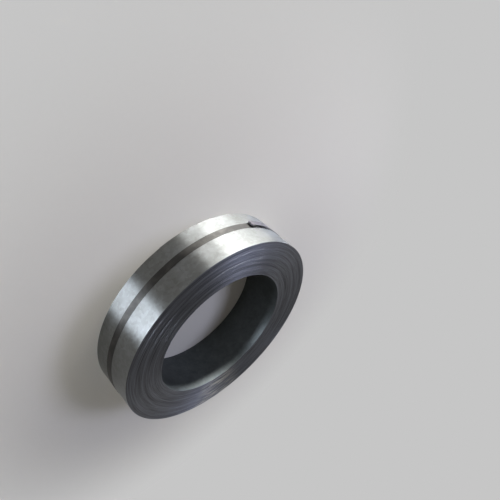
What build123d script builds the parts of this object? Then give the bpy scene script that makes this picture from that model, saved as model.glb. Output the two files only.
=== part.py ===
from build123d import *

import os
from math import acos, cos, degrees, radians, sin

# A narrow slit coil of galvanised steel strip, wound tight on a round mandrel
# and held shut by one steel strap with a crimped seal.
# Lengths are in millimetres. The coil stands on one end with its axis along Z,
# and the origin is on the axis at the lower end. Angles go round the axis in
# degrees, from +X towards +Y.

# Wound strip
bore_diameter = 508.0
strip_thickness = 1.5
turns = 87
strip_width = 167.0

# Where the strip starts in the bore and ends on the outside
inner_end_angle = 301.5
outer_end_past_seal = 53.7

# Bands of neighbouring turns that sit back a little from both end faces
turns_in_band = 8
turns_more_or_less = 4
first_band_turns = 3
band_setback = 0.8
band_rhythm = 2.2

# Strap round the outer turn
strap_width = 25.4
strap_thickness = 0.8
strap_height = 72.0
strap_layer_gap = 0.05

# Crimped seal round the two lapped ends of the strap
seal_angle = 209.8
seal_length = 57.0
seal_thickness = 0.9
seal_clearance = 0.1
seal_side_clearance = 0.3
seal_seam_gap = 2.0
seal_edge_radius = 0.7

# Notches of the crimping tool in the edges of the seal and the strap
notch_spacing = 24.0
notch_length = 8.0
notch_depth = 4.0

# Free ends of the strap beyond the seal, the upper one in a springy loop
under_end = 14.0
fold_reach = 22.0
fold_radius = 3.6
tail_slope = 3.0
tail_length = 90.0
tail_radius = 385.0

bore_radius = bore_diameter / 2
outer_radius = bore_radius + turns * strip_thickness
outer_end_angle = seal_angle + outer_end_past_seal
full_turn = 360


def direction(angle):
    """Unit vector at an angle round the axis."""
    return Vector(cos(radians(angle)), sin(radians(angle)))


def quarter_of(angle):
    """Quarter of the outer turn that an angle lies in, from the strip's end."""
    return int(((angle - outer_end_angle) % full_turn) // 90)


def outline_point(angle, lift, quarter=None):
    """Point over the outer turn at an angle, lifted off its surface.

    The outer turn is a spiral that grows by one strip thickness in a full
    turn. It is drawn as four tangent arcs, one a quarter, whose centres stand
    at the corners of a small square round the axis.
    """
    quarter = quarter_of(angle) if quarter is None else quarter
    growth = strip_thickness / 4
    along = direction(outer_end_angle)
    across = direction(outer_end_angle + 90)
    centre = (across - along) * (growth / 2)
    if quarter >= 2:
        centre += along * growth
    if quarter in (1, 2):
        centre -= across * growth
    radius = outer_radius - strip_thickness + growth * (quarter + 0.5)
    return centre + direction(angle) * (radius + lift)


def follow(start, end, lift):
    """Arcs along the outer turn from one angle up to another, at a lift."""
    angle = start
    while end - angle > 1e-9:
        quarter = quarter_of(angle + 1e-6)
        past_quarter_start = (angle + 1e-6 - outer_end_angle) % 90
        stop = min(end, angle + 1e-6 + 90 - past_quarter_start)
        ThreePointArc(
            outline_point(angle, lift, quarter),
            outline_point((angle + stop) / 2, lift, quarter),
            outline_point(stop, lift, quarter),
        )
        angle = stop


def arc_angle(length):
    """Angle that a length covers on the outer turn."""
    return degrees(length / outer_radius)


def tangent_angle(lift):
    """Angle that a straight run takes from a lift down to the outer turn."""
    return degrees(acos(outer_radius / (outer_radius + lift)))


def sector(start, end, low, high):
    """Closed outline between two angles and two lifts over the outer turn."""
    follow(start, end, low)
    Line(outline_point(end, low), outline_point(end, high))
    follow(start, end, high)
    Line(outline_point(start, high), outline_point(start, low))


# The wound strip, one solid with a step where the strip ends on the outside
inner_lap_angle = degrees(acos(bore_radius / (bore_radius + strip_thickness)))
with BuildPart() as coil:
    with BuildSketch(Plane.XY):
        with BuildLine():
            follow(outer_end_angle, outer_end_angle + full_turn, 0)
            Line(
                outline_point(outer_end_angle, 0, 3),
                outline_point(outer_end_angle, 0, 0),
            )
        make_face()
        Circle(bore_radius, mode=Mode.SUBTRACT)
        # The second turn climbs in a straight line over the strip's inner end
        with BuildLine():
            Polyline(
                direction(inner_end_angle - inner_lap_angle) * bore_radius,
                direction(inner_end_angle) * (bore_radius + strip_thickness),
                direction(inner_end_angle) * (bore_radius - strip_thickness),
                close=True,
            )
        make_face(mode=Mode.SUBTRACT)
    extrude(amount=strip_width)

    # Both ends have bands of turns at slightly different depths
    for side, level in ((-1, 0), (1, strip_width)):
        band_start = bore_radius + first_band_turns * strip_thickness
        index = 0
        while True:
            wave = sin(band_rhythm * index + side)
            width = (turns_in_band + round(turns_more_or_less * wave)) * strip_thickness
            if band_start + width > outer_radius - 2 * strip_thickness:
                break
            depth = band_setback * (0.5 + 0.5 * sin(2 * band_rhythm * index - side))
            with BuildSketch(Plane.XY.offset(level)):
                Circle(band_start + width)
                Circle(band_start, mode=Mode.SUBTRACT)
            extrude(amount=-side * depth, mode=Mode.SUBTRACT)
            band_start += width
            index += 1
coil.part.label = "coil"

# Places along the strap, from its under end to its folded free end
seal_half_angle = arc_angle(seal_length / 2)
seal_start = seal_angle - seal_half_angle
seal_end = seal_angle + seal_half_angle
under_lift = seal_thickness + seal_clearance / 2
over_lift = under_lift + strap_thickness + strap_layer_gap
under_start = seal_start - arc_angle(under_end)
under_foot = seal_end + tangent_angle(under_lift)
over_foot = under_start - tangent_angle(over_lift)
lap_foot = outer_end_angle + tangent_angle(strip_thickness)
fold_angle = seal_end + arc_angle(fold_reach)
fold_centre = outline_point(fold_angle, over_lift + strap_thickness + fold_radius)
tail_start = fold_angle - tail_slope
tail_end = tail_start - degrees(tail_length / tail_radius)
tail_centre = fold_centre + direction(tail_start) * (fold_radius + strap_thickness - tail_radius)


def strap_face(height):
    """One face of the strap, at a height over its side next to the coil."""
    bend = fold_radius + strap_thickness - height
    follow(under_start, seal_end, under_lift + height)
    Line(
        outline_point(seal_end, under_lift + height),
        outline_point(under_foot, height),
    )
    follow(under_foot, outer_end_angle, height)
    # Straight over the step at the outer end of the strip
    Line(
        outline_point(outer_end_angle, height, 3),
        outline_point(lap_foot, height),
    )
    follow(lap_foot, over_foot + full_turn, height)
    # Up on to the strap's own under end, through the seal and back over it in
    # a loop, whose tail bends down past the seal
    Line(
        outline_point(over_foot, height),
        outline_point(under_start, over_lift + height),
    )
    follow(under_start + full_turn, fold_angle + full_turn, over_lift + height)
    ThreePointArc(
        fold_centre - direction(fold_angle) * bend,
        fold_centre + direction(fold_angle + 90) * bend,
        fold_centre + direction(tail_start) * bend,
    )
    ThreePointArc(
        tail_centre + direction(tail_start) * (tail_radius - height),
        tail_centre + direction((tail_start + tail_end) / 2) * (tail_radius - height),
        tail_centre + direction(tail_end) * (tail_radius - height),
    )


with BuildPart() as strap:
    with BuildSketch(Plane.XY.offset(strap_height - strap_width / 2)):
        with BuildLine():
            strap_face(0)
            strap_face(strap_thickness)
            Line(
                outline_point(under_start, under_lift),
                outline_point(under_start, under_lift + strap_thickness),
            )
            Line(
                tail_centre + direction(tail_end) * tail_radius,
                tail_centre + direction(tail_end) * (tail_radius - strap_thickness),
            )
        make_face()
    extrude(amount=strap_width)

# Seal, a sleeve bent round both layers of the strap with a seam next to the coil
sleeve_low = seal_thickness
sleeve_high = over_lift + strap_thickness + seal_clearance / 2
sleeve_width = strap_width + 2 * seal_side_clearance
seal_width = sleeve_width + 2 * seal_thickness
with BuildPart() as strap_seal:
    with BuildSketch(Plane.XY.offset(strap_height - seal_width / 2)):
        with BuildLine():
            sector(seal_start, seal_end, 0, sleeve_high + seal_thickness)
        make_face()
    extrude(amount=seal_width)
    long_edges = strap_seal.edges().filter_by(GeomType.CIRCLE)
    fillet(long_edges.group_by(SortBy.RADIUS)[-1], seal_edge_radius)
    with BuildSketch(Plane.XY.offset(strap_height - sleeve_width / 2)):
        with BuildLine():
            sector(seal_start, seal_end, sleeve_low, sleeve_high)
        make_face()
    extrude(amount=sleeve_width, mode=Mode.SUBTRACT)
    with BuildSketch(Plane.XY.offset(strap_height - seal_seam_gap / 2)):
        with BuildLine():
            sector(seal_start, seal_end, 0, sleeve_low)
        make_face()
    extrude(amount=seal_seam_gap, mode=Mode.SUBTRACT)

# The crimping tool bites through the edges of the seal and both straps
for piece in (strap, strap_seal):
    with piece:
        for place in (-1, 1):
            for side in (-1, 1):
                notch_middle = strap_height + side * (seal_width - notch_depth) / 2
                notch_angle = seal_angle + arc_angle(place * notch_spacing / 2)
                notch_half = arc_angle(notch_length / 2)
                with BuildSketch(Plane.XY.offset(notch_middle - notch_depth / 2)):
                    with BuildLine():
                        sector(
                            notch_angle - notch_half,
                            notch_angle + notch_half,
                            0,
                            sleeve_high + seal_thickness,
                        )
                    make_face()
                extrude(amount=notch_depth, mode=Mode.SUBTRACT)
strap.part.label = "strap"
strap_seal.part.label = "strap_seal"

os.makedirs("parts", exist_ok=True)
export_step(coil.part, "parts/coil.step")
export_step(strap.part, "parts/strap.step")
export_step(strap_seal.part, "parts/strap_seal.step")
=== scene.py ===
"""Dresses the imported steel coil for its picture: wound strip, strap, seal and studio.

Everything is in metres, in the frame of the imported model: the coil stands on
one end, its axis is Z and the origin is on the axis at the lower end. Angles
go round the axis in degrees, from +X towards +Y.
"""

import logging
import math
import random
from dataclasses import dataclass, field
from enum import Enum
from typing import Any

import bmesh
import bpy
from mathutils import Matrix, Vector

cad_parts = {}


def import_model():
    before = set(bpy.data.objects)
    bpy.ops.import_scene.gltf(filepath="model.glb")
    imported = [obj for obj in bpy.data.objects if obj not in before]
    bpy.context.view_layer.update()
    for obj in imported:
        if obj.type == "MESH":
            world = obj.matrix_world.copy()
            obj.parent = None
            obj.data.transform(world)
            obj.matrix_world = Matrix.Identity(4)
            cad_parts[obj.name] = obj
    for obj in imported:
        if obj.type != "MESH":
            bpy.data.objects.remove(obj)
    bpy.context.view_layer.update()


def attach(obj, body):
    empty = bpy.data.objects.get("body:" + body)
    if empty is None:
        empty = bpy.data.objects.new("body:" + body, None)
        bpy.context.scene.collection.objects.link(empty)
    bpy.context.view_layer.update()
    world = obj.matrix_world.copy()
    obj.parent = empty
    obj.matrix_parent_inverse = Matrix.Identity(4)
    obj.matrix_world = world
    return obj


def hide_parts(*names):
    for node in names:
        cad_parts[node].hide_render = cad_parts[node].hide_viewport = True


LOG = logging.getLogger("steel_coil")
MM = 0.001
FULL_TURN = 360.0
SHARP_ANGLE = 28.0
UP = Vector((0.0, 0.0, 1.0))
# Sockets of a Mix node: the two numbers or colours that go in, and the colour
# that comes out
MIX_NUMBER_A, MIX_NUMBER_B = 2, 3
MIX_COLOUR_A, MIX_COLOUR_B, MIX_COLOUR_OUT = 6, 7, 2
# Quarter turn of a metal's highlight, which lays its grain round the coil's axis
GRAIN_TURN = 0.25


class End(Enum):
    """The two ends of the coil, with the side of the strip that each shows."""

    LOWER = -1
    UPPER = 1


class Finish(Enum):
    """Finishes of the wound strip, numbered as its material slots."""

    OUTSIDE = 0
    EDGE = 1
    BORE = 2


# Nodes and colours


def linear_from_hex(code: str) -> tuple[float, float, float, float]:
    """Turns an sRGB hex colour into the linear colour that a shader takes.

    Args:
        code: The colour as "#rrggbb".

    Returns:
        Linear red, green, blue and an alpha of 1.
    """
    parts = [int(code[place : place + 2], 16) / 255 for place in (1, 3, 5)]
    linear = [p / 12.92 if p <= 0.04045 else ((p + 0.055) / 1.055) ** 2.4 for p in parts]
    return (linear[0], linear[1], linear[2], 1.0)


def add_node(
    tree: bpy.types.NodeTree,
    kind: str,
    settings: dict[str, Any] | None = None,
    inputs: dict[str | int, Any] | None = None,
) -> bpy.types.Node:
    """Adds a node with its settings, input values and links.

    Args:
        tree: The node tree that gets the node.
        kind: The node's type name, such as "ShaderNodeTexNoise".
        settings: Attributes of the node, by name.
        inputs: Input sockets by name or number, each with a value or with the
            output socket that feeds it.

    Returns:
        The new node.
    """
    node = tree.nodes.new(kind)
    for name, value in (settings or {}).items():
        setattr(node, name, value)
    for name, value in (inputs or {}).items():
        if isinstance(value, bpy.types.NodeSocket):
            tree.links.new(value, node.inputs[name])
        else:
            node.inputs[name].default_value = value
    return node


def new_material(name: str) -> tuple[bpy.types.Material, bpy.types.NodeTree]:
    """Makes an empty node material.

    Args:
        name: The material's name.

    Returns:
        The material and its node tree.
    """
    material = bpy.data.materials.new(name)
    material.use_nodes = True
    material.node_tree.nodes.clear()
    return material, material.node_tree


def axis_parts(
    tree: bpy.types.NodeTree,
) -> tuple[bpy.types.NodeSocket, bpy.types.NodeSocket, bpy.types.NodeSocket]:
    """Splits a surface point's place by the coil's axis.

    Args:
        tree: The material's node tree.

    Returns:
        Sockets of its direction and its distance out from the axis, and of its height.
    """
    place = add_node(tree, "ShaderNodeTexCoord").outputs["Object"]
    split = add_node(tree, "ShaderNodeSeparateXYZ", inputs={0: place})
    flat = add_node(
        tree,
        "ShaderNodeCombineXYZ",
        inputs={"X": split.outputs["X"], "Y": split.outputs["Y"]},
    ).outputs[0]
    outward = add_node(tree, "ShaderNodeVectorMath", {"operation": "NORMALIZE"}, {0: flat})
    radius = add_node(tree, "ShaderNodeVectorMath", {"operation": "LENGTH"}, {0: flat})
    return outward.outputs["Vector"], radius.outputs["Value"], split.outputs["Z"]


def round_axis_vector(
    tree: bpy.types.NodeTree, along: float, radial: float, axial: float
) -> bpy.types.NodeSocket:
    """Coordinates that follow the turns of the coil without a seam.

    Args:
        tree: The material's node tree.
        along: Cells of the pattern per radian round the axis.
        radial: Cells of the pattern per metre out from the axis.
        axial: Cells of the pattern per metre along the axis.

    Returns:
        A vector socket for a noise texture.
    """
    outward, radius, height = axis_parts(tree)
    ring = add_node(
        tree, "ShaderNodeVectorMath", {"operation": "SCALE"}, {0: outward, "Scale": along}
    ).outputs["Vector"]
    height = add_node(
        tree, "ShaderNodeMath", {"operation": "MULTIPLY"}, {0: height, 1: axial}
    ).outputs[0]
    level = add_node(
        tree, "ShaderNodeMath", {"operation": "MULTIPLY_ADD"}, {0: radius, 1: radial, 2: height}
    ).outputs[0]
    lift = add_node(tree, "ShaderNodeCombineXYZ", inputs={"Z": level}).outputs[0]
    return add_node(
        tree, "ShaderNodeVectorMath", {"operation": "ADD"}, {0: ring, 1: lift}
    ).outputs["Vector"]


def colour_between(
    tree: bpy.types.NodeTree,
    factor: bpy.types.NodeSocket,
    limits: tuple[float, float],
    colours: tuple[str, str],
) -> bpy.types.NodeSocket:
    """Runs from one colour to another while a factor passes between two limits.

    Args:
        tree: The material's node tree.
        factor: The socket that drives the change.
        limits: The factor's values at the first and the second colour.
        colours: The two sRGB hex colours.

    Returns:
        The colour socket.
    """
    first, second = (linear_from_hex(code) for code in colours)
    share = add_node(
        tree,
        "ShaderNodeMapRange",
        inputs={0: factor, "From Min": limits[0], "From Max": limits[1]},
    ).outputs[0]
    return add_node(
        tree,
        "ShaderNodeMix",
        {"data_type": "RGBA"},
        {0: share, MIX_COLOUR_A: first, MIX_COLOUR_B: second},
    ).outputs[MIX_COLOUR_OUT]


def rolled_metal(
    tree: bpy.types.NodeTree,
    colour: bpy.types.NodeSocket,
    roughness: bpy.types.NodeSocket,
    height: bpy.types.NodeSocket,
    anisotropy: float,
) -> None:
    """Closes a material as metal whose grain runs round the coil's axis.

    Lights stretch across the grain: along the axis on a wall of the coil, and
    out from the axis on its ends.

    Args:
        tree: The material's node tree.
        colour: Socket of the metal's colour.
        roughness: Socket of its roughness.
        height: Socket of its relief in millimetres.
        anisotropy: How far the grain stretches a light, 0 to 1.
    """
    bump = add_node(
        tree, "ShaderNodeBump", inputs={"Strength": 1.0, "Distance": MM, "Height": height}
    ).outputs[0]
    tangent = add_node(
        tree, "ShaderNodeTangent", {"direction_type": "RADIAL", "axis": "Z"}
    ).outputs[0]
    shader = add_node(
        tree,
        "ShaderNodeBsdfPrincipled",
        inputs={
            "Base Color": colour,
            "Metallic": 1.0,
            "Roughness": roughness,
            "Anisotropic": anisotropy,
            "Anisotropic Rotation": GRAIN_TURN,
            "Normal": bump,
            "Tangent": tangent,
        },
    )
    add_node(tree, "ShaderNodeOutputMaterial", inputs={0: shader.outputs[0]})


# Finishes


@dataclass(frozen=True)
class GalvanisedSheet:
    """Hot-dip galvanised steel, skin passed between rolls.

    The zinc freezes in flat crystals, which show as a soft cloudy mottling.
    The rolls leave fine lines along the strip, which draw a lamp out into a
    band across it, and the slight waves that the strip keeps from winding
    break the band's edges up into streaks. Real roll lines are a few tenths
    of a millimetre wide and would not show, so they are drawn coarser.
    """

    name: str
    dark_zinc: str
    pale_zinc: str
    smooth: float
    dull: float
    crystal_mm: float = 9.0
    crystal_share: float = 0.25
    cloud_mm: float = 45.0
    cloud_detail: float = 4.0
    mottle_limits: tuple[float, float] = (0.25, 0.75)
    roll_line_mm: float = 1.6
    roll_lines_per_radian: float = 3.0
    roll_line_detail: float = 2.0
    roll_line_relief: float = 0.06
    wave_mm: float = 26.0
    wave_length_mm: float = 170.0
    wave_detail: float = 1.0
    wave_relief: float = 0.12
    wave_radius_mm: float = 384.0
    anisotropy: float = 0.97

    def build(self) -> bpy.types.Material:
        """Builds the material.

        Returns:
            The finished material.
        """
        material, tree = new_material(self.name)
        place = add_node(tree, "ShaderNodeTexCoord").outputs["Object"]
        crystals = add_node(
            tree,
            "ShaderNodeTexVoronoi",
            {"feature": "F1"},
            {"Vector": place, "Scale": 1 / (self.crystal_mm * MM), "Randomness": 1.0},
        )
        crystal_tone = add_node(
            tree, "ShaderNodeSeparateColor", inputs={0: crystals.outputs["Color"]}
        ).outputs[0]
        clouds = add_node(
            tree,
            "ShaderNodeTexNoise",
            inputs={
                "Vector": place,
                "Scale": 1 / (self.cloud_mm * MM),
                "Detail": self.cloud_detail,
            },
        ).outputs["Fac"]
        roll_lines = add_node(
            tree,
            "ShaderNodeTexNoise",
            inputs={
                "Vector": round_axis_vector(
                    tree, self.roll_lines_per_radian, 0.0, 1 / (self.roll_line_mm * MM)
                ),
                "Scale": 1.0,
                "Detail": self.roll_line_detail,
            },
        ).outputs["Fac"]
        waves = add_node(
            tree,
            "ShaderNodeTexNoise",
            inputs={
                "Vector": round_axis_vector(
                    tree,
                    self.wave_radius_mm / self.wave_mm,
                    0.0,
                    1 / (self.wave_length_mm * MM),
                ),
                "Scale": 1.0,
                "Detail": self.wave_detail,
            },
        ).outputs["Fac"]
        mottle = add_node(
            tree,
            "ShaderNodeMix",
            {"data_type": "FLOAT"},
            {0: self.crystal_share, MIX_NUMBER_A: clouds, MIX_NUMBER_B: crystal_tone},
        ).outputs[0]
        colour = colour_between(
            tree, mottle, self.mottle_limits, (self.dark_zinc, self.pale_zinc)
        )
        roughness = add_node(
            tree,
            "ShaderNodeMapRange",
            inputs={0: mottle, "To Min": self.smooth, "To Max": self.dull},
        ).outputs[0]
        line_height = add_node(
            tree,
            "ShaderNodeMath",
            {"operation": "MULTIPLY"},
            {0: roll_lines, 1: self.roll_line_relief},
        ).outputs[0]
        height = add_node(
            tree,
            "ShaderNodeMath",
            {"operation": "MULTIPLY_ADD"},
            {0: waves, 1: self.wave_relief, 2: line_height},
        ).outputs[0]
        rolled_metal(tree, colour, roughness, height, self.anisotropy)
        return material


@dataclass(frozen=True)
class SlitEdge:
    """Bare sheared steel, the edges of the strip side by side in the wound end.

    Shearing leaves each turn a pale torn line and a dark burnished one, so
    the end reads as a dark grey record with fine pale streaks. Near one angle
    short warm bright lines are painted on the turns, a painted highlight for
    the far side of the lamps' sheen. Lines narrower than a turn would not show,
    so each is drawn as wide as a turn, and a highlight line as wide as three.
    """

    dark_steel: str = "#494a4d"
    pale_steel: str = "#7c7e86"
    tone_limits: tuple[float, float] = (0.36, 0.64)
    line_mm: float = 1.5
    lines_per_radian: float = 3.0
    line_detail: float = 1.0
    line_relief: float = 0.05
    band_mm: float = 9.0
    bands_per_radian: float = 0.8
    band_detail: float = 2.0
    band_share: float = 0.4
    smooth: float = 0.3
    dull: float = 0.56
    anisotropy: float = 0.75
    # Painted highlight: the warm pale colour, and the angle and reach of the short bright lines
    # drawn into the end's colour
    highlight_tone: str = "#adaa9f"
    highlight_angle: float = 62.0
    highlight_reach: float = 20.0
    highlight_line_mm: float = 4.5
    highlight_lines_per_radian: float = 5.0
    highlight_limits: tuple[float, float] = (0.47, 0.62)

    def painted_sheen(self, tree: bpy.types.NodeTree) -> bpy.types.NodeSocket:
        """Places the painted highlight: short bright lines on the turns near one angle.

        Args:
            tree: The material's node tree.

        Returns:
            A socket of the share of the painted highlight's colour, 0 to 1.
        """
        lines = add_node(
            tree,
            "ShaderNodeTexNoise",
            inputs={
                "Vector": round_axis_vector(
                    tree, self.highlight_lines_per_radian, 1 / (self.highlight_line_mm * MM), 0.0
                ),
                "Scale": 1.0,
                "Detail": self.line_detail,
            },
        ).outputs["Fac"]
        lit_lines = add_node(
            tree,
            "ShaderNodeMapRange",
            inputs={0: lines, "From Min": self.highlight_limits[0], "From Max": self.highlight_limits[1]},
        ).outputs[0]
        towards_highlight = add_node(
            tree,
            "ShaderNodeVectorMath",
            {"operation": "DOT_PRODUCT"},
            {0: axis_parts(tree)[0], 1: heading(self.highlight_angle)},
        ).outputs["Value"]
        return add_node(
            tree,
            "ShaderNodeMapRange",
            {"interpolation_type": "SMOOTHSTEP"},
            {
                0: towards_highlight,
                "From Min": math.cos(math.radians(self.highlight_reach)),
                "From Max": 1.0,
                "To Max": lit_lines,
            },
        ).outputs[0]

    def build(self) -> bpy.types.Material:
        """Builds the material.

        Returns:
            The finished material.
        """
        material, tree = new_material("slit_steel_edge")
        lines = add_node(
            tree,
            "ShaderNodeTexNoise",
            inputs={
                "Vector": round_axis_vector(
                    tree, self.lines_per_radian, 1 / (self.line_mm * MM), 0.0
                ),
                "Scale": 1.0,
                "Detail": self.line_detail,
            },
        ).outputs["Fac"]
        bands = add_node(
            tree,
            "ShaderNodeTexNoise",
            inputs={
                "Vector": round_axis_vector(
                    tree, self.bands_per_radian, 1 / (self.band_mm * MM), 0.0
                ),
                "Scale": 1.0,
                "Detail": self.band_detail,
            },
        ).outputs["Fac"]
        tone = add_node(
            tree,
            "ShaderNodeMix",
            {"data_type": "FLOAT"},
            {0: self.band_share, MIX_NUMBER_A: lines, MIX_NUMBER_B: bands},
        ).outputs[0]
        sheared = colour_between(
            tree, tone, self.tone_limits, (self.dark_steel, self.pale_steel)
        )
        # The painted highlight's lines are mixed into the sheared steel's colour
        highlight_tone = linear_from_hex(self.highlight_tone)
        colour = add_node(
            tree,
            "ShaderNodeMix",
            {"data_type": "RGBA"},
            {0: self.painted_sheen(tree), MIX_COLOUR_A: sheared, MIX_COLOUR_B: highlight_tone},
        ).outputs[MIX_COLOUR_OUT]
        roughness = add_node(
            tree,
            "ShaderNodeMapRange",
            inputs={0: tone, "To Min": self.dull, "To Max": self.smooth},
        ).outputs[0]
        height = add_node(
            tree,
            "ShaderNodeMath",
            {"operation": "MULTIPLY"},
            {0: lines, 1: self.line_relief},
        ).outputs[0]
        rolled_metal(tree, colour, roughness, height, self.anisotropy)
        return material


@dataclass(frozen=True)
class BlackStrapping:
    """Blued and waxed steel strapping.

    The steel was drawn through rollers lengthwise, and the thin wax over its
    near-black skin keeps that grain, so a lamp spreads across the strap. What
    stands off the coil, such as the folded tail, is painted a pale purple-grey,
    a painted reflection of the lamps, in scratch streaks drawn wider than real
    ones, which would not show.
    """

    name: str = "blued_steel_strapping"
    skin: str = "#434240"
    worn: str = "#555350"
    # Painted reflection: the pale colour, and the radii over which it comes in, for what stands
    # off the coil
    sheen_tone: str = "#757178"
    sheen_start: float = 388.6 * MM
    sheen_full: float = 391.0 * MM
    scuff_mm: float = 30.0
    scuff_detail: float = 6.0
    scuff_limits: tuple[float, float] = (0.4, 0.7)
    scuff_relief: float = 0.02
    scratch_mm: float = 3.0
    scratches_per_radian: float = 12.0
    scratch_detail: float = 3.0
    scratch_limits: tuple[float, float] = (0.36, 0.6)
    smooth: float = 0.4
    dull: float = 0.48
    anisotropy: float = 0.92

    def exposure(self, tree: bpy.types.NodeTree) -> bpy.types.NodeSocket:
        """Gives the length by which a point stands out, to place the painted sheen.

        Args:
            tree: The material's node tree.

        Returns:
            A socket of the distance out from the coil's axis.
        """
        return axis_parts(tree)[1]

    def build(self) -> bpy.types.Material:
        """Builds the material.

        Returns:
            The finished material.
        """
        material, tree = new_material(self.name)
        place = add_node(tree, "ShaderNodeTexCoord").outputs["Object"]
        scuffs = add_node(
            tree,
            "ShaderNodeTexNoise",
            inputs={
                "Vector": place,
                "Scale": 1 / (self.scuff_mm * MM),
                "Detail": self.scuff_detail,
            },
        ).outputs["Fac"]
        skin = colour_between(tree, scuffs, self.scuff_limits, (self.skin, self.worn))
        scratches = add_node(
            tree,
            "ShaderNodeTexNoise",
            inputs={
                "Vector": round_axis_vector(
                    tree, self.scratches_per_radian, 0.0, 1 / (self.scratch_mm * MM)
                ),
                "Scale": 1.0,
                "Detail": self.scratch_detail,
            },
        ).outputs["Fac"]
        scratched = add_node(
            tree,
            "ShaderNodeMapRange",
            inputs={
                0: scratches,
                "From Min": self.scratch_limits[0],
                "From Max": self.scratch_limits[1],
            },
        ).outputs[0]
        painted_sheen = add_node(
            tree,
            "ShaderNodeMapRange",
            inputs={
                0: self.exposure(tree),
                "From Min": self.sheen_start,
                "From Max": self.sheen_full,
                "To Max": scratched,
            },
        ).outputs[0]
        # Painted reflection: pale purple-grey in scratch streaks where the strap stands off the
        # coil
        sheen_tone = linear_from_hex(self.sheen_tone)
        colour = add_node(
            tree,
            "ShaderNodeMix",
            {"data_type": "RGBA"},
            {0: painted_sheen, MIX_COLOUR_A: skin, MIX_COLOUR_B: sheen_tone},
        ).outputs[MIX_COLOUR_OUT]
        roughness = add_node(
            tree,
            "ShaderNodeMapRange",
            inputs={0: scuffs, "To Min": self.smooth, "To Max": self.dull},
        ).outputs[0]
        height = add_node(
            tree,
            "ShaderNodeMath",
            {"operation": "MULTIPLY"},
            {0: scuffs, 1: self.scuff_relief},
        ).outputs[0]
        rolled_metal(tree, colour, roughness, height, self.anisotropy)
        return material


@dataclass(frozen=True)
class SealSteel(BlackStrapping):
    """Blued and waxed steel of the seal, pressed round the lapped strap.

    Its skin is as dark as the strap's, and its two long bends are painted
    pale in streaks, partly wear and partly a painted glint along each bend.
    """

    name: str = "blued_steel_seal"
    skin: str = "#343436"
    worn: str = "#47464a"
    middle: float = 72 * MM
    # Painted glint along the two bends: how far off the middle line it starts and is full
    sheen_start: float = 13.2 * MM
    sheen_full: float = 14.4 * MM

    def exposure(self, tree: bpy.types.NodeTree) -> bpy.types.NodeSocket:
        """Gives the distance up or down from the seal's middle line.

        Args:
            tree: The material's node tree.

        Returns:
            A socket of that distance.
        """
        height = axis_parts(tree)[2]
        off_middle = add_node(
            tree, "ShaderNodeMath", {"operation": "SUBTRACT"}, {0: height, 1: self.middle}
        ).outputs[0]
        return add_node(
            tree, "ShaderNodeMath", {"operation": "ABSOLUTE"}, {0: off_middle}
        ).outputs[0]


@dataclass(frozen=True)
class StudioPaper:
    """Matt paper of a studio floor, a plain pale grey.

    Far from the coil it shows one even tone to the camera and in reflections,
    so that floor and backdrop meet without a line.
    """

    tone: str = "#cdc8bf"
    far_tone: str = "#c6c6c6"
    near: float = 0.5
    far: float = 1.25
    roughness: float = 0.9

    def build(self) -> bpy.types.Material:
        """Builds the material.

        Returns:
            The finished material.
        """
        material, tree = new_material("studio_paper")
        place = add_node(tree, "ShaderNodeTexCoord").outputs["Object"]
        radius = add_node(
            tree, "ShaderNodeVectorMath", {"operation": "LENGTH"}, {0: place}
        ).outputs["Value"]
        distance = add_node(
            tree,
            "ShaderNodeMapRange",
            {"interpolation_type": "SMOOTHSTEP"},
            {0: radius, "From Min": self.near, "From Max": self.far},
        ).outputs[0]
        path = add_node(tree, "ShaderNodeLightPath")
        seen = add_node(
            tree,
            "ShaderNodeMath",
            {"operation": "MAXIMUM"},
            {0: path.outputs["Is Camera Ray"], 1: path.outputs["Is Glossy Ray"]},
        ).outputs[0]
        seen = add_node(
            tree,
            "ShaderNodeMath",
            {"operation": "MAXIMUM"},
            {0: seen, 1: path.outputs["Is Transmission Ray"]},
        ).outputs[0]
        share = add_node(
            tree, "ShaderNodeMath", {"operation": "MULTIPLY"}, {0: distance, 1: seen}
        ).outputs[0]
        paper = add_node(
            tree,
            "ShaderNodeBsdfPrincipled",
            inputs={"Base Color": linear_from_hex(self.tone), "Roughness": self.roughness},
        )
        even = add_node(
            tree,
            "ShaderNodeEmission",
            inputs={"Color": linear_from_hex(self.far_tone), "Strength": 1.0},
        )
        mix = add_node(
            tree,
            "ShaderNodeMixShader",
            inputs={0: share, 1: paper.outputs[0], 2: even.outputs[0]},
        )
        add_node(tree, "ShaderNodeOutputMaterial", inputs={0: mix.outputs[0]})
        return material


# Shapes


def heading(angle: float) -> Vector:
    """Unit vector at an angle round the axis, in degrees."""
    return Vector((math.cos(math.radians(angle)), math.sin(math.radians(angle)), 0.0))


def eased(share: float) -> float:
    """Share from 0 to 1 that starts and stops gently."""
    return share * share * (3 - 2 * share)


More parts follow.
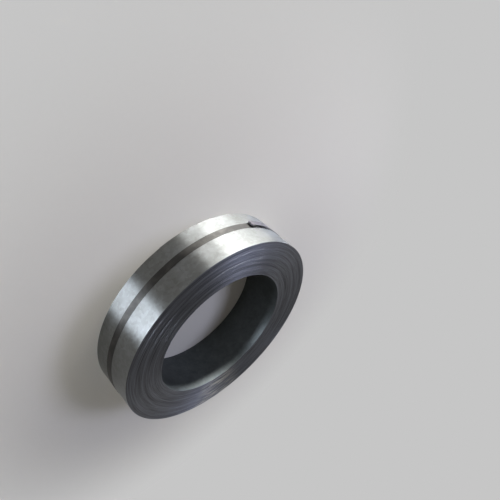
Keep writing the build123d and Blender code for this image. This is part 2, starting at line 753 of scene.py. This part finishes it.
@dataclass
class MeshDraft:
    """Points and faces of a piece that is being built."""

    points: list[Vector] = field(default_factory=list)
    faces: list[tuple[int, ...]] = field(default_factory=list)
    finishes: list[int] = field(default_factory=list)

    def add_point(self, place: Vector) -> int:
        """Adds a point.

        Args:
            place: Its place, in metres.

        Returns:
            Its number.
        """
        self.points.append(place)
        return len(self.points) - 1

    def add_face(self, *corners: int, finish: int = 0) -> None:
        """Adds a face.

        Args:
            corners: Numbers of its points, in order round it.
            finish: Number of its material.
        """
        self.faces.append(corners)
        self.finishes.append(finish)

    def to_object(self, name: str, materials: list[bpy.types.Material]) -> bpy.types.Object:
        """Turns the draft into an object, smooth but for its sharp edges.

        Args:
            name: The object's name.
            materials: Its materials.

        Returns:
            The object, linked to the scene.
        """
        mesh = bpy.data.meshes.new(name)
        mesh.from_pydata([tuple(p) for p in self.points], [], self.faces)
        for material in materials:
            mesh.materials.append(material)
        mesh.polygons.foreach_set("material_index", self.finishes)
        tidy = bmesh.new()
        tidy.from_mesh(mesh)
        bmesh.ops.recalc_face_normals(tidy, faces=tidy.faces)
        tidy.to_mesh(mesh)
        tidy.free()
        mesh.shade_smooth()
        mesh.set_sharp_from_angle(angle=math.radians(SHARP_ANGLE))
        piece = bpy.data.objects.new(name, mesh)
        bpy.context.scene.collection.objects.link(piece)
        return piece


@dataclass
class WoundStrip:
    """The coil's one long strip, wound turn on turn round a 508 mm bore.

    Both ends carry every turn as its own ridge. The turns wander sideways by
    tenths of a millimetre, and bands of them sit back further.
    """

    bore_radius: float = 254 * MM
    outer_radius: float = 384.5 * MM
    width: float = 167 * MM
    inner_end_angle: float = 301.5
    outer_end_angle: float = 263.5
    full_turns: int = 85
    steps_per_turn: int = 180
    climb_turns: int = 10
    edge_round: float = 0.12 * MM
    groove: float = 0.14 * MM
    wander: float = 0.12 * MM
    wander_steps: int = 60
    seed: int = 11
    first_band_turns: int = 3
    turns_in_band: int = 8
    turns_more_or_less: int = 4
    band_setback: float = 0.3 * MM
    band_rhythm: float = 2.2
    band_change: float = 0.4

    @property
    def steps(self) -> int:
        """Angular steps from the strip's inner end to its outer end."""
        part_turn = (self.outer_end_angle - self.inner_end_angle) % FULL_TURN / FULL_TURN
        return round((self.full_turns + part_turn) * self.steps_per_turn)

    @property
    def thickness(self) -> float:
        """Thickness of one turn, so that the turns fill the wall of the coil."""
        layers = self.steps / self.steps_per_turn + 1
        return (self.outer_radius - self.bore_radius) / layers

    def angle(self, step: int) -> float:
        """Angle round the axis of a step of the winding."""
        return self.inner_end_angle + FULL_TURN * step / self.steps_per_turn

    def radius(self, step: int) -> float:
        """Radius of the strip's inner side at a step of the winding.

        The first turn lies on the round mandrel and climbs over the strip's
        own end in its last few degrees. Each later turn climbs over a longer
        stretch, until the winding is an even spiral.

        Args:
            step: The step, counted from the strip's inner end.

        Returns:
            The radius in metres.
        """
        turn, rest = divmod(step / self.steps_per_turn, 1.0)
        first_climb = math.acos(self.bore_radius / (self.bore_radius + self.thickness))
        shortest = first_climb / math.tau
        share = shortest + (1 - shortest) * min(1.0, turn / self.climb_turns)
        climbed = max(0.0, (rest - (1 - share)) / share)
        return self.bore_radius + self.thickness * (turn + climbed)

    def band_setbacks(self, end: End) -> list[float]:
        """How far each turn sits back at an end, band by band.

        Args:
            end: The end of the coil.

        Returns:
            One setback in metres for each turn.
        """
        setbacks = [0.0] * (self.full_turns + 2)
        first = self.first_band_turns
        index = 0
        while True:
            wave = math.sin(self.band_rhythm * index + end.value)
            count = self.turns_in_band + round(self.turns_more_or_less * wave)
            if first + count > self.full_turns - 1:
                return setbacks
            level = 0.5 + 0.5 * math.sin(2 * self.band_rhythm * index - end.value)
            for turn in range(first, first + count):
                setbacks[turn] = self.band_setback * level
            first += count
            index += 1

    def edge_levels(self, end: End) -> list[float]:
        """Height of the strip's edge at each step of the winding.

        Args:
            end: The end of the coil.

        Returns:
            Heights in metres, never beyond the flat end of the coil.
        """
        shake = random.Random(self.seed + end.value)
        count = self.steps // self.wander_steps + 3
        nodes = [shake.random() ** 2 * self.wander for _ in range(count)]
        bands = self.band_setbacks(end)
        levels = []
        for step in range(self.steps + 1):
            place, rest = divmod(step / self.wander_steps, 1.0)
            ease = eased(rest)
            drift = nodes[int(place)] * (1 - ease) + nodes[int(place) + 1] * ease
            turn, part = divmod(step / self.steps_per_turn, 1.0)
            blend = eased(min(1.0, part / self.band_change))
            before = bands[max(0, int(turn) - 1)]
            inward = before * (1 - blend) + bands[int(turn)] * blend + drift
            levels.append(self.width - inward if end is End.UPPER else inward)
        return levels

    def winding_point(self, radius: float, step: int, height: float) -> Vector:
        """Point at a radius and a height, at the angle of a step."""
        return heading(self.angle(step)) * radius + UP * height

    def build_groove_row(self, draft: MeshDraft, end: End, levels: list[float]) -> list[int]:
        """Adds the bottoms of the grooves between the turns, inner side first.

        Args:
            draft: The draft that gets the points.
            end: The end of the coil.
            levels: Height of the strip's edge at each step.

        Returns:
            One point for each step, and one more turn for the outer side.
        """
        turn = self.steps_per_turn
        row = []
        for step in range(self.steps + turn + 1):
            near = [levels[s] for s in (step - turn, step) if 0 <= s <= self.steps]
            lowest = min(near) if end is End.UPPER else max(near)
            open_side = step < turn or step > self.steps
            depth = self.edge_round if open_side else self.groove
            height = lowest - end.value * depth
            row.append(draft.add_point(self.winding_point(self.radius(step), step, height)))
        return row

    def build_edge(self, draft: MeshDraft, end: End) -> tuple[list[int], list[int], list[int]]:
        """Builds the strip's edge at one end, every turn a flat ridge.

        Args:
            draft: The draft that gets the ridge.
            end: The end of the coil.

        Returns:
            The groove points, and the ridge's inner and outer points.
        """
        turn = self.steps_per_turn
        levels = self.edge_levels(end)
        grooves = self.build_groove_row(draft, end, levels)
        inner = []
        outer = []
        for step, level in enumerate(levels):
            inside = self.radius(step) + self.edge_round
            outside = self.radius(step + turn) - self.edge_round
            inner.append(draft.add_point(self.winding_point(inside, step, level)))
            outer.append(draft.add_point(self.winding_point(outside, step, level)))
        rows = (grooves[: self.steps + 1], inner, outer, grooves[turn:])
        for near, far in zip(rows, rows[1:]):
            for s in range(self.steps):
                draft.add_face(
                    near[s], near[s + 1], far[s + 1], far[s], finish=Finish.EDGE.value
                )
        return grooves, inner, outer

    def build(self, materials: dict[Finish, bpy.types.Material]) -> bpy.types.Object:
        """Builds the wound strip as one closed mesh.

        Args:
            materials: The material of each finish.

        Returns:
            The coil.
        """
        draft = MeshDraft()
        turn, steps = self.steps_per_turn, self.steps
        low, low_inner, low_outer = self.build_edge(draft, End.LOWER)
        high, high_inner, high_outer = self.build_edge(draft, End.UPPER)
        for start, finish in ((0, Finish.BORE), (steps, Finish.OUTSIDE)):
            for s in range(start, start + turn):
                draft.add_face(low[s], low[s + 1], high[s + 1], high[s], finish=finish.value)
        for s in (0, steps):
            draft.add_face(
                low[s], low_inner[s], low_outer[s], low[s + turn],
                high[s + turn], high_outer[s], high_inner[s], high[s],
                finish=Finish.EDGE.value,
            )
        return draft.to_object("wound_strip", [materials[finish] for finish in Finish])


@dataclass
class StrapStop:
    """A place along the strap's middle line, with half the strap's width there."""

    place: Vector
    half_width: float


@dataclass
class StrapBand:
    """The steel strap, lapped through its seal with its free end folded back."""

    coil: WoundStrip
    width: float = 25.4 * MM
    thickness: float = 0.8 * MM
    height: float = 72 * MM
    layer_gap: float = 0.05 * MM
    seal_angle: float = 209.8
    seal_length: float = 57 * MM
    seal_thickness: float = 0.9 * MM
    seal_clearance: float = 0.1 * MM
    seal_side_clearance: float = 0.3 * MM
    notch_spacing: float = 24 * MM
    notch_length: float = 8 * MM
    notch_depth: float = 4 * MM
    under_end: float = 14 * MM
    fold_reach: float = 22 * MM
    fold_radius: float = 3.6 * MM
    fold_steps: int = 24
    tail_slope: float = 3.0
    tail_length: float = 90 * MM
    tail_radius: float = 385 * MM
    tail_steps: int = 16
    edge_round: float = 0.2 * MM
    step_angle: float = 1.0
    corner_step: float = 0.01
    joint_inset: float = 0.00001

    @property
    def notched_half_width(self) -> float:
        """Half the width that the crimping tool's notches leave."""
        sides = self.seal_side_clearance + self.seal_thickness
        return self.width / 2 + sides - self.notch_depth

    def arc_angle(self, length: float) -> float:
        """Angle that a length covers on the outer turn, in degrees."""
        return math.degrees(length / self.coil.outer_radius)

    def foot_angle(self, lift: float) -> float:
        """Angle that a straight run takes from a lift down to the coil."""
        return math.degrees(math.acos(self.coil.outer_radius / (self.coil.outer_radius + lift)))

    def surface_radius(self, angle: float) -> float:
        """Radius of the coil's outer side at an angle.

        Args:
            angle: The angle in degrees.

        Returns:
            The radius in metres, smallest just past the strip's outer end.
        """
        past = (angle - self.coil.outer_end_angle) % FULL_TURN / FULL_TURN
        return self.coil.outer_radius - self.coil.thickness * (1 - past)

    def notch_distance(self, angle: float) -> float:
        """Distance round the coil from an angle to the nearest notch's middle.

        Args:
            angle: The angle in degrees.

        Returns:
            The distance in metres.
        """
        from_seal = (angle - self.seal_angle + FULL_TURN / 2) % FULL_TURN - FULL_TURN / 2
        along = abs(math.radians(from_seal)) * self.coil.outer_radius
        return abs(along - self.notch_spacing / 2)

    def run(self, begin: float, end: float, lift: float, notched: bool = False) -> list[StrapStop]:
        """Stops along the coil from one angle to another.

        Args:
            begin: The first angle, in degrees.
            end: The last angle.
            lift: Height of the strap's near side over the coil, in metres.
            notched: Whether the notches are cut into this run.

        Returns:
            The stops, in order.
        """
        count = max(2, round((end - begin) / self.step_angle))
        # Just inside both angles, so that a run which meets the step at the
        # strip's outer end stays on its own side of it
        first, last = begin + self.joint_inset, end - self.joint_inset
        angles = [first + (last - first) * i / count for i in range(count + 1)]
        if notched:
            seal = self.seal_angle + FULL_TURN * round((begin - self.seal_angle) / FULL_TURN)
            for along in (-self.notch_spacing / 2, self.notch_spacing / 2):
                for edge in (-self.notch_length / 2, self.notch_length / 2):
                    corner = seal + self.arc_angle(along + edge)
                    angles += [corner - self.corner_step, corner + self.corner_step]
        stops = []
        for angle in sorted(angles):
            inside = notched and self.notch_distance(angle) < self.notch_length / 2
            radius = self.surface_radius(angle) + lift + self.thickness / 2
            half = self.notched_half_width if inside else self.width / 2
            stops.append(StrapStop(heading(angle) * radius, half))
        return stops

    def tail(self, fold_angle: float, last: Vector) -> list[StrapStop]:
        """Stops round the fold and down along the free tail.

        Args:
            fold_angle: The angle at which the fold starts.
            last: The middle line's place there.

        Returns:
            The stops, in order.
        """
        half = self.width / 2
        bend = self.fold_radius + self.thickness / 2
        centre = last + heading(fold_angle) * bend
        turned = FULL_TURN / 2 + self.tail_slope
        stops = []
        for i in range(1, self.fold_steps + 1):
            back = heading(fold_angle - turned * i / self.fold_steps)
            stops.append(StrapStop(centre - back * bend, half))
        tail_start = fold_angle - self.tail_slope
        swept = math.degrees(self.tail_length / self.tail_radius)
        reach = self.tail_radius - self.thickness / 2
        centre = stops[-1].place - heading(tail_start) * reach
        for i in range(1, self.tail_steps + 1):
            out = heading(tail_start - swept * i / self.tail_steps)
            stops.append(StrapStop(centre + out * reach, half))
        return stops

    def path(self) -> list[StrapStop]:
        """Stops along the strap from its under end to its folded end.

        Returns:
            The stops, in order.
        """
        under = self.seal_thickness + self.seal_clearance / 2
        over = under + self.thickness + self.layer_gap
        half_seal = self.arc_angle(self.seal_length / 2)
        start = self.seal_angle - half_seal - self.arc_angle(self.under_end)
        seal_end = self.seal_angle + half_seal
        fold = seal_end + self.arc_angle(self.fold_reach)
        lap = self.coil.outer_end_angle
        stops = self.run(start, seal_end, under, notched=True)
        stops += self.run(seal_end + self.foot_angle(under), lap, 0.0)
        lap_foot = lap + self.foot_angle(self.coil.thickness)
        stops += self.run(lap_foot, start + FULL_TURN - self.foot_angle(over), 0.0)
        stops += self.run(start + FULL_TURN, fold + FULL_TURN, over, notched=True)
        return stops + self.tail(fold, stops[-1].place)

    def section(self, half_width: float) -> list[tuple[float, float]]:
        """Rounded cross-section of the strap.

        Args:
            half_width: Half the strap's width.

        Returns:
            Points across and out from the strap's middle, in order.
        """
        half = self.thickness / 2
        inner_width = half_width - self.edge_round
        inner = half - self.edge_round
        corners = [
            (inner_width, -half), (half_width, -inner),
            (half_width, inner), (inner_width, half),
        ]
        return corners + [(-across, -out) for across, out in corners]

    def build(self, paint: bpy.types.Material) -> bpy.types.Object:
        """Builds the strap as a band of rounded section along its path.

        Args:
            paint: The strap's finish.

        Returns:
            The strap.
        """
        draft = MeshDraft()
        stops = self.path()
        rings = []
        for index, stop in enumerate(stops):
            ahead = stops[min(index + 1, len(stops) - 1)].place
            behind = stops[max(index - 1, 0)].place
            out = (ahead - behind).normalized().cross(UP)
            ring = []
            for across, lift in self.section(stop.half_width):
                ring.append(draft.add_point(stop.place + out * lift + UP * (self.height + across)))
            rings.append(ring)
        for near, far in zip(rings, rings[1:]):
            for corner in range(len(near)):
                after = (corner + 1) % len(near)
                draft.add_face(near[corner], near[after], far[after], far[corner])
        draft.add_face(*rings[0])
        draft.add_face(*rings[-1])
        return draft.to_object("strap_band", [paint])


# Studio


@dataclass
class Lamp:
    """A soft box: where it hangs, how large and how bright it is."""

    name: str
    azimuth: float
    watts: float
    elevation: float = 2.4
    distance: float = 4.5
    size: tuple[float, float] = (1.5, 0.36)
    colour: str = "#ffffff"

    def build(self, target: Vector) -> None:
        """Hangs the lamp and turns it to a point.

        Args:
            target: The point that the lamp faces.
        """
        light = bpy.data.lights.new(self.name, "AREA")
        light.shape = "RECTANGLE"
        light.size, light.size_y = self.size
        light.energy = self.watts
        light.color = linear_from_hex(self.colour)[:3]
        lamp = bpy.data.objects.new(self.name, light)
        rise = math.radians(self.elevation)
        away = heading(self.azimuth) * math.cos(rise) + UP * math.sin(rise)
        lamp.location = target + away * self.distance
        lamp.rotation_euler = (-away).to_track_quat("-Z", "Y").to_euler()
        bpy.context.scene.collection.objects.link(lamp)


@dataclass
class Studio:
    """Pale floor with a curved backdrop, soft lamps and the camera."""

    target: Vector
    floor_radius: float = 7.0
    flat_rings: tuple[float, ...] = (0.2, 0.4, 0.7, 1.0)
    floor_sides: int = 96
    cove_radius: float = 0.9
    cove_steps: int = 8
    cove_height: float = 3.4
    lamps: tuple[Lamp, ...] = (
        Lamp("row_1", azimuth=132, watts=24),
        Lamp("row_2", azimuth=152, watts=56, colour="#dde8ff"),
        Lamp("row_3", azimuth=172, watts=120),
        Lamp("row_4", azimuth=192, watts=205),
        Lamp("row_5", azimuth=210, watts=240, size=(1.3, 0.36)),
        Lamp("row_6", azimuth=228, watts=95, size=(1.3, 0.36)),
        Lamp("window", azimuth=310, watts=260, size=(2.4, 0.36), colour="#e8f1ff"),
        Lamp(
            "overhead",
            azimuth=162,
            watts=60,
            elevation=52,
            distance=3.5,
            size=(1.8, 1.2),
            colour="#d3dbfb",
        ),
    )
    world_tone: str = "#bcbbb9"
    world_strength: float = 0.32
    camera_place: tuple[float, float, float] = (0.0, -1.6263, 0.9548)
    camera_aim: tuple[float, float, float] = (-0.1490, 0.8527, -0.5008)
    camera_up: tuple[float, float, float] = (-0.6906, -0.4522, -0.5645)
    focal_pixels: float = 518.0
    frame_pixels: float = 500.0
    sensor_mm: float = 36.0

    def build_floor(self) -> None:
        """Lays the floor as one round sheet that curves up at its rim."""
        flat_radius = self.floor_radius - self.cove_radius
        profile = [(flat_radius * share, 0.0) for share in self.flat_rings]
        for i in range(1, self.cove_steps + 1):
            turned = math.radians(90 * i / self.cove_steps)
            profile.append(
                (
                    flat_radius + self.cove_radius * math.sin(turned),
                    self.cove_radius * (1 - math.cos(turned)),
                )
            )
        profile.append((self.floor_radius, self.cove_height))
        draft = MeshDraft()
        middle = draft.add_point(Vector((0, 0, 0)))
        rings = [
            [
                draft.add_point(heading(FULL_TURN * i / self.floor_sides) * r + UP * z)
                for i in range(self.floor_sides)
            ]
            for r, z in profile
        ]
        for i in range(self.floor_sides):
            after = (i + 1) % self.floor_sides
            draft.add_face(middle, rings[0][i], rings[0][after])
            for near, far in zip(rings, rings[1:]):
                draft.add_face(near[i], far[i], far[after], near[after])
        draft.to_object("floor", [StudioPaper().build()])

    def build_world(self) -> None:
        """Fills the room with even light."""
        world = bpy.data.worlds.new("studio")
        world.use_nodes = True
        tree = world.node_tree
        tree.nodes.clear()
        sky = add_node(
            tree,
            "ShaderNodeBackground",
            inputs={
                "Color": linear_from_hex(self.world_tone),
                "Strength": self.world_strength,
            },
        )
        add_node(tree, "ShaderNodeOutputWorld", inputs={0: sky.outputs[0]})
        bpy.context.scene.world = world

    def build_camera(self) -> None:
        """Places the camera where the photograph's stood, seen from the coil."""
        data = bpy.data.cameras.new("photo_view")
        data.sensor_width = self.sensor_mm
        data.lens = self.sensor_mm * self.focal_pixels / self.frame_pixels
        camera = bpy.data.objects.new("photo_view", data)
        forward = Vector(self.camera_aim).normalized()
        right = forward.cross(Vector(self.camera_up)).normalized()
        up = right.cross(forward)
        turn = Matrix((right, up, -forward)).transposed().to_4x4()
        camera.matrix_world = Matrix.Translation(Vector(self.camera_place)) @ turn
        bpy.context.scene.collection.objects.link(camera)
        bpy.context.scene.camera = camera

    def build(self) -> None:
        """Sets up the whole studio."""
        self.build_floor()
        self.build_world()
        for lamp in self.lamps:
            lamp.build(self.target)
        self.build_camera()
        bpy.context.scene.view_settings.view_transform = "Standard"


def report(piece: bpy.types.Object) -> None:
    """Logs a finished piece with its size in millimetres and its faces."""
    size = ", ".join(f"{side / MM:.1f}" for side in piece.dimensions)
    LOG.info("%s: %s mm, %d faces", piece.name, size, len(piece.data.polygons))


def main() -> None:
    """Builds the dressed coil and its studio."""
    logging.basicConfig(level=logging.INFO, format="%(message)s")
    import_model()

    strip = WoundStrip()
    coil = strip.build(
        {
            Finish.OUTSIDE: GalvanisedSheet(
                name="galvanised_steel_strip",
                dark_zinc="#71726f",
                pale_zinc="#868887",
                smooth=0.34,
                dull=0.4,
            ).build(),
            Finish.EDGE: SlitEdge().build(),
            # The bore's zinc is darker, as painted shade of the deep bore, and the
            # mandrel rubs it dull and wears its roll lines away, so that a lamp is drawn out less
            # there
            Finish.BORE: GalvanisedSheet(
                name="galvanised_steel_bore_shaded",
                dark_zinc="#535757",
                pale_zinc="#636868",
                smooth=0.5,
                dull=0.58,
                anisotropy=0.45,
            ).build(),
        }
    )
    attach(coil, "root")
    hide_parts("coil")
    report(coil)

    strap = StrapBand(strip).build(BlackStrapping().build())
    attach(strap, "root")
    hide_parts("strap")
    report(strap)

    seal_steel = SealSteel().build()
    seal = bpy.data.objects["strap_seal"]
    for slot in seal.material_slots:
        slot.material = seal_steel
    report(seal)

    Studio(target=Vector((0, 0, strip.width / 2))).build()


if __name__ == "__main__":
    main()
